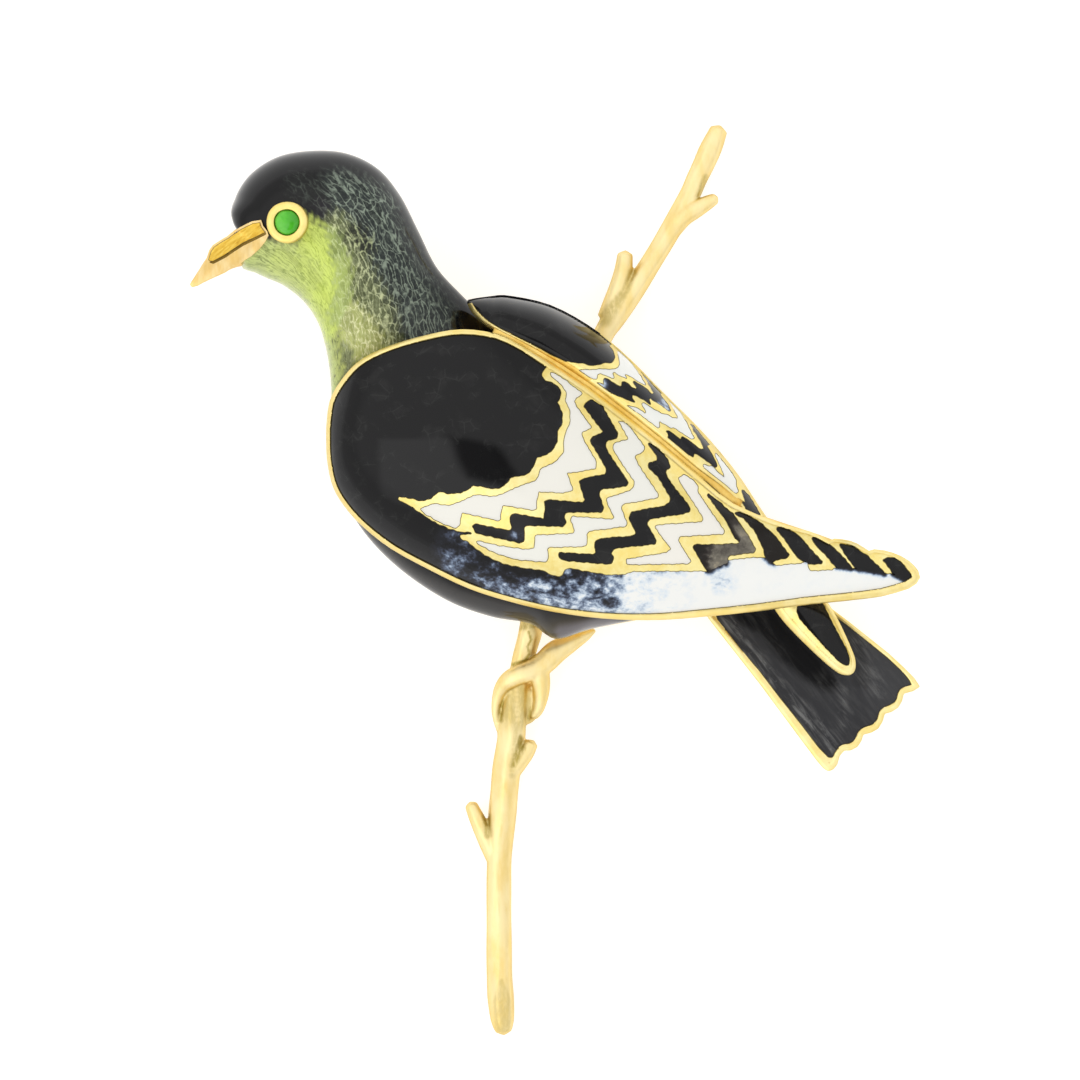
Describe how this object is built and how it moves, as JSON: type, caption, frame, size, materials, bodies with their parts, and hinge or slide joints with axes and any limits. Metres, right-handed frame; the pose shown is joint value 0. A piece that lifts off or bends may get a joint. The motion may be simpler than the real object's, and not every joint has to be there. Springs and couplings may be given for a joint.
{
  "type": "enamelled bird brooch",
  "caption": "Brooch of an enamelled pigeon with folded zigzag wings, standing on a gold twig, with a pin across its back.",
  "frame": {"origin": "middle of the outline in X and Y, on the plane that the brooch's back rests on", "axes": "+X from beak to tail, +Y up along the twig, +Z out of the brooch's front"},
  "size_m": [0.0562, 0.07, 0.0157],
  "materials": {
    "body_enamel": "glossy translucent enamel, black on crown, nape and belly, running over a net of fine pale lines to lime on the throat",
    "wing_enamel": "glossy enamel in black, white and blue-white cells between polished gold walls",
    "tail_enamel": "glossy translucent black enamel with gold rims",
    "gold": "yellow gold, softly polished",
    "beak_gold": "yellow gold with an engraved upper bill",
    "stone": "polished green stone"
  },
  "bodies": {
    "root": {"body": "body_enamel", "beak": "beak_gold", "eye_bezel": "gold", "eye_stone": "stone", "left_wing": "wing_enamel", "right_wing": "wing_enamel", "tail": "tail_enamel", "branch": "gold", "pin_fitting": "gold"}
  },
  "joints": []
}
